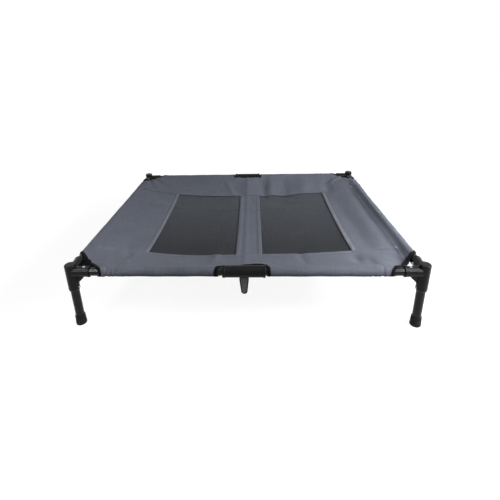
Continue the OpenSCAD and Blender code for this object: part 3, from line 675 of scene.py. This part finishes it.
def sleeve(name, side, start, end, count):
    """A sleeve between two slanted ends, each given as its place at the rail and its slant inwards."""
    around, seam_lap, lap_lift = 44, np.array([0.0045, 0.0041, 0.0020]), 0.0002
    rings = []
    for share in np.linspace(0, 1, count):
        seam_at = [e[0] + e[1] * seam_in for e in (start, end)]
        along_seam = seam_at[0] + (seam_at[1] - seam_at[0]) * share
        points, normal, s = drop_section(float(seam_height(side, along_seam)), rail_skin, around)
        lap = [[d, float(seam_height(side, along_seam, d)) + lap_lift] for d in seam_in + seam_lap]
        points, s = np.concatenate([lap, points]), np.concatenate([-seam_lap, s])
        normal = np.concatenate([np.tile([0.0, 1.0], (len(lap), 1)), normal])
        low, high = start[0] + start[1] * points[:, 0], end[0] + end[1] * points[:, 0]
        along = low + (high - low) * share
        points = points + normal * gathers(side, along, s, s[-1])[:, None]
        rings.append((on_rail(side, along, points[:, 0], points[:, 1]), np.stack([along, s], -1)))
    grid, cut = (np.stack(part) for part in zip(*rings))
    if side in ("rear", "left"):
        grid, cut = grid[::-1], cut[::-1]
    line = 0.5 * (grid[:, 0] + grid[:, 1])
    seams = stitched(name + "_stitches", [(line, straight_up(len(line)))], grey_thread)
    return soft_piece(name, grid, cut, cloth_thick, oxford), cut, seams


def declare_sleeve(node):
    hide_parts(node)


for side in sides:
    for end, sign in ends.items():
        name = side + "_" + end
        corner_end = (sign * (half_x - cloth_cut), sign)
        half, slope = notch_half[name], notch_slope[name]
        notch_end = (sign * (half + slope * seam_in + 0.5 * notch_tape_wide[side]), -sign * slope)
        first, last = (corner_end, notch_end) if sign < 0 else (notch_end, corner_end)
        piece, cut, seams = sleeve("sleeve_" + name, side, first, last, count=110)
        declare_sleeve("long_sleeve_" + name)
for side in ends:
    reach = half_y - cloth_cut
    piece, cut, seams = sleeve("sleeve_" + side, side, (-reach, -1), (reach, 1), count=190)
    declare_sleeve("short_sleeve_" + side)


# Bindings: black woven tape, folded over every raw edge and sewn through. One runs round each cut
# corner, from sleeve to sleeve, and one round each notch behind a coupling.
def tape_finish():
    made, tree, skin = finish("binding_tape", (0.005, 0.005, 0.0055), 0.8)
    skin.inputs["Sheen Weight"].default_value = 0.01
    skin.inputs["Specular IOR Level"].default_value = 0.04
    cut = wire(tree, "ShaderNodeUVMap", uv_map="cut").outputs[0]
    ribs = wire(tree, "ShaderNodeTexWave", {"Vector": cut, "Scale": band_scale(0.0009)},
                bands_direction="X")
    twill = wire(tree, "ShaderNodeTexWave", {"Vector": cut, "Scale": band_scale(0.0013)},
                 bands_direction="DIAGONAL")
    place = wire(tree, "ShaderNodeTexCoord").outputs["Object"]
    faded = spread(tree, cloudy(tree, place, 70, 4.0), 0.35, 0.7, 0.0, 1.0)
    tree.links.new(two_tone(tree, faded, (0.003, 0.003, 0.0035), (0.007, 0.007, 0.008)),
                   skin.inputs["Base Color"])
    tree.links.new(spread(tree, faded, 0.0, 1.0, 0.72, 0.88), skin.inputs["Roughness"])
    relief(tree, skin, combined(tree, "ADD", ribs.outputs["Fac"], twill.outputs["Fac"]), 0.5, 0.00015)
    return made


binding_tape = tape_finish()
tape_over, tape_under, tape_step = 0.0006, 0.0003, 0.0022
fold_out, lining_out, stitch_share = 0.0007, 0.0002, 0.78


def folded_tape(name, path, normal, into, w):
    """Tape folded over an edge: path follows the edge, normal points out of the cloth's face, and
    into points from the edge on to the cloth. w is the tape's width, which may change along the path."""
    step = unit(np.gradient(path, axis=0))
    normal = unit(normal - step * (normal * step).sum(1)[:, None])
    across = np.cross(step, normal)
    across *= np.sign((across * into).sum(1))[:, None]
    # each point of the section: its share of the width, what is added to that, and its height
    face = [(1.0, 0.55), (0.97, 0.85), (0.7, 1.0), (0.35, 1.0), (0.08, 0.95), (0.0, 0.6)]
    over = [(a, 0, b * tape_over) for a, b in face] + [(0, -fold_out, -0.5 * cloth_thick)]
    under = [(a, 0, -cloth_thick - b * tape_under) for a, b in face[::-1]]
    lining = [(0.98, 0, -cloth_thick), (0.5, 0, -cloth_thick), (0, 0, -cloth_thick),
              (0, -lining_out, -0.5 * cloth_thick), (0, 0, 0), (0.5, 0, 0), (0.98, 0, 0)]
    share, slip, rise = np.array(over + under + lining).T
    w = np.broadcast_to(w, len(path))[:, None]
    reach = w * share + slip
    rings = path[:, None] + reach[..., None] * across[:, None] + rise[:, None] * normal[:, None]
    count, k = rings.shape[:2]
    at = np.arange(count * k).reshape(count, k)
    turn = np.roll(at, -1, axis=1)
    quads = np.stack([at[:-1], at[1:], turn[1:], turn[:-1]], -1).reshape(-1, 4)
    if np.sign((np.cross(across[0], normal[0]) * step[0]).sum()) < 0:
        quads = quads[:, ::-1]
    faces = quads.tolist() + [at[0].tolist(), at[-1][::-1].tolist()]
    made = frame_piece(name, rings.reshape(-1, 3).tolist(), faces, binding_tape)
    run = distance_along(path)
    cut = np.stack([np.repeat(run, k), reach.ravel()], -1)
    made.data.uv_layers.new(name="cut").data.foreach_set("uv", cut[np.concatenate(faces)].ravel())
    row = path + stitch_share * w * across + tape_over * normal
    return made, float(run[-1]), stitched(name + "_stitches", [(row, normal)], black_thread)


def smooth_path(parts):
    """Joins parts of (points, normals, into) and lays them out again in even steps."""
    joined = [np.concatenate(x) for x in zip(*parts)]
    gap = np.linalg.norm(np.diff(joined[0], axis=0), axis=1)
    keep = np.concatenate([[True], gap > 1e-6])
    joined = [x[keep] for x in joined]
    run = distance_along(joined[0])
    even = np.linspace(0, run[-1], int(run[-1] / tape_step))
    laid = [at_distance(even, run, x) for x in joined]
    for _ in range(2):
        for x in laid:
            x[1:-1] = 0.25 * x[:-2] + 0.5 * x[1:-1] + 0.25 * x[2:]
    return laid


def round_sleeve(side, edge_at, slant, inward_to=math.inf):
    """The bound end of a sleeve as (points, normals), from its seam underneath to the seam on top, or
    only as far inwards on top as inward_to."""
    seam_along = edge_at + slant * seam_in
    points, normal, s = drop_section(float(seam_height(side, seam_along)), rail_skin, 60)
    above = (s < s[-1] / 2) & (points[:, 0] > inward_to)
    points, normal, s = points[~above][::-1], normal[~above][::-1], s[~above][::-1]
    along = edge_at + slant * points[:, 0]
    points = points + normal * gathers(side, along, s, s.max())[:, None]
    place = on_rail(side, along, points[:, 0], points[:, 1])
    out = on_rail(side, 0 * along, normal[:, 0], normal[:, 1]) - on_rail(side, np.zeros(1), 0.0, 0.0)
    return place, out


loose_most = {"front_left": 0.024, "front_right": 0.006, "rear_left": 0.006, "rear_right": 0.006}
loose_reach, hang_share = 0.016, 0.3
for side, sy in sides.items():
    for end, sx in ends.items():
        name = side + "_" + end
        centre = np.array([-sx, -sy, 0.0])
        long_end, long_out = round_sleeve(side, sx * (half_x - corner_cut), sx)
        short_end, short_out = round_sleeve(end, sy * (half_y - corner_cut), sy)
        d = np.linspace(seam_in, corner_cut - seam_in, 30)
        x, y = sx * (half_x - corner_cut + d), sy * (half_y - d)
        edge = np.stack([x, y, sling_z(x, y)], -1)
        parts = [(long_end, long_out), (edge, straight_up(len(d))), (short_end[::-1], short_out[::-1])]
        path, normal, into = smooth_path([(p, n, np.tile(centre, (len(p), 1))) for p, n in parts])
        # between the rails the tape hangs loose towards the leg, most of all at the front left
        from_middle = np.linalg.norm(path - path[len(path) // 2], axis=1)
        loose = loose_most[name] * np.exp(-(from_middle / loose_reach) ** 2)
        hang, outward = hang_share * loose, -centre / math.sqrt(2)
        path = path + np.outer(loose, outward) - np.outer(hang, (0, 0, 1))
        normal = normal + np.outer(hang / (tape_wide + loose), outward)
        piece, length, seams = folded_tape("corner_tape_" + name, path, normal, into, tape_wide + loose)
        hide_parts("corner_binding_" + name)

# a notch: how far in from the rail's axis its edge runs and its bends start and turn, how far the bends
# turn and end short of its half width, and where the tape swings round to face along the rail
notch_edge, turn_from, bend_in = 0.018, 0.005, 0.0135
bend_back, strip_back, swing_at = 0.0015, 0.008, 0.0545
# the raised tape of the front notch: its place, its reach, how far it hangs and how far it stands out
arch_at, arch_reach, arch_down, arch_out = 0.033, 0.021, 0.0050, 0.0040
for side, sy in sides.items():
    rounds, bends = [], []
    t = np.linspace(0, 1, 12)[1:-1]
    for end, sign in ends.items():
        half, slope = notch_half[side + "_" + end], notch_slope[side + "_" + end]
        place, out = round_sleeve(side, sign * (half + slope * seam_in), -sign * slope, turn_from)
        into = np.tile([float(sign), 0.0, 0.0], (len(place), 1))
        from_x, bend_x, strip_x = half + slope * (seam_in - turn_from), half - bend_back, half - strip_back
        bend = np.stack([sign * (from_x * (1 - t) ** 2 + 2 * bend_x * t * (1 - t) + strip_x * t ** 2),
                         turn_from * (1 - t) ** 2 + 2 * bend_in * t * (1 - t) + notch_edge * t ** 2], -1)
        rounds.append((place, out, into) if sign < 0 else (place[::-1], out[::-1], into))
        bends.append(bend if sign < 0 else bend[::-1])
    straight = np.linspace(bends[0][-1, 0], bends[1][0, 0], 60)[1:-1]
    x, inward = np.concatenate([bends[0], np.stack([straight, 0 * straight + notch_edge], -1), bends[1]]).T
    # at the right of the front coupling the tape stands over the housing and hangs down behind it
    wide = notch_tape_wide[side]
    arch = np.exp(-((x - arch_at) / arch_reach) ** 2) if side == "front" else 0 * x
    droop = arch_down * arch
    inward = inward - arch_out * arch * (inward > notch_edge - 0.001)
    seam_up = np.array([float(seam_height(side, a)) for a in x])
    tilt = np.array([drop_section(u, rail_skin, 9)[1][0] for u in seam_up])
    up = seam_up + (seam_in - inward) * tilt[:, 0] / tilt[:, 1] - droop
    out = np.stack([0 * x, sy * (droop / wide - tilt[:, 0]), tilt[:, 1]], -1)
    towards = np.stack([np.clip(x / swing_at, -1, 1) ** 9, 0 * x - sy, 0 * x], -1)
    middle = (on_rail(side, x, inward, up), out, towards)
    path, normal, into = smooth_path([rounds[0], middle, rounds[1]])
    piece, length, seams = folded_tape("notch_tape_" + side, path, normal, into, wide)
    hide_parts("notch_binding_" + side)
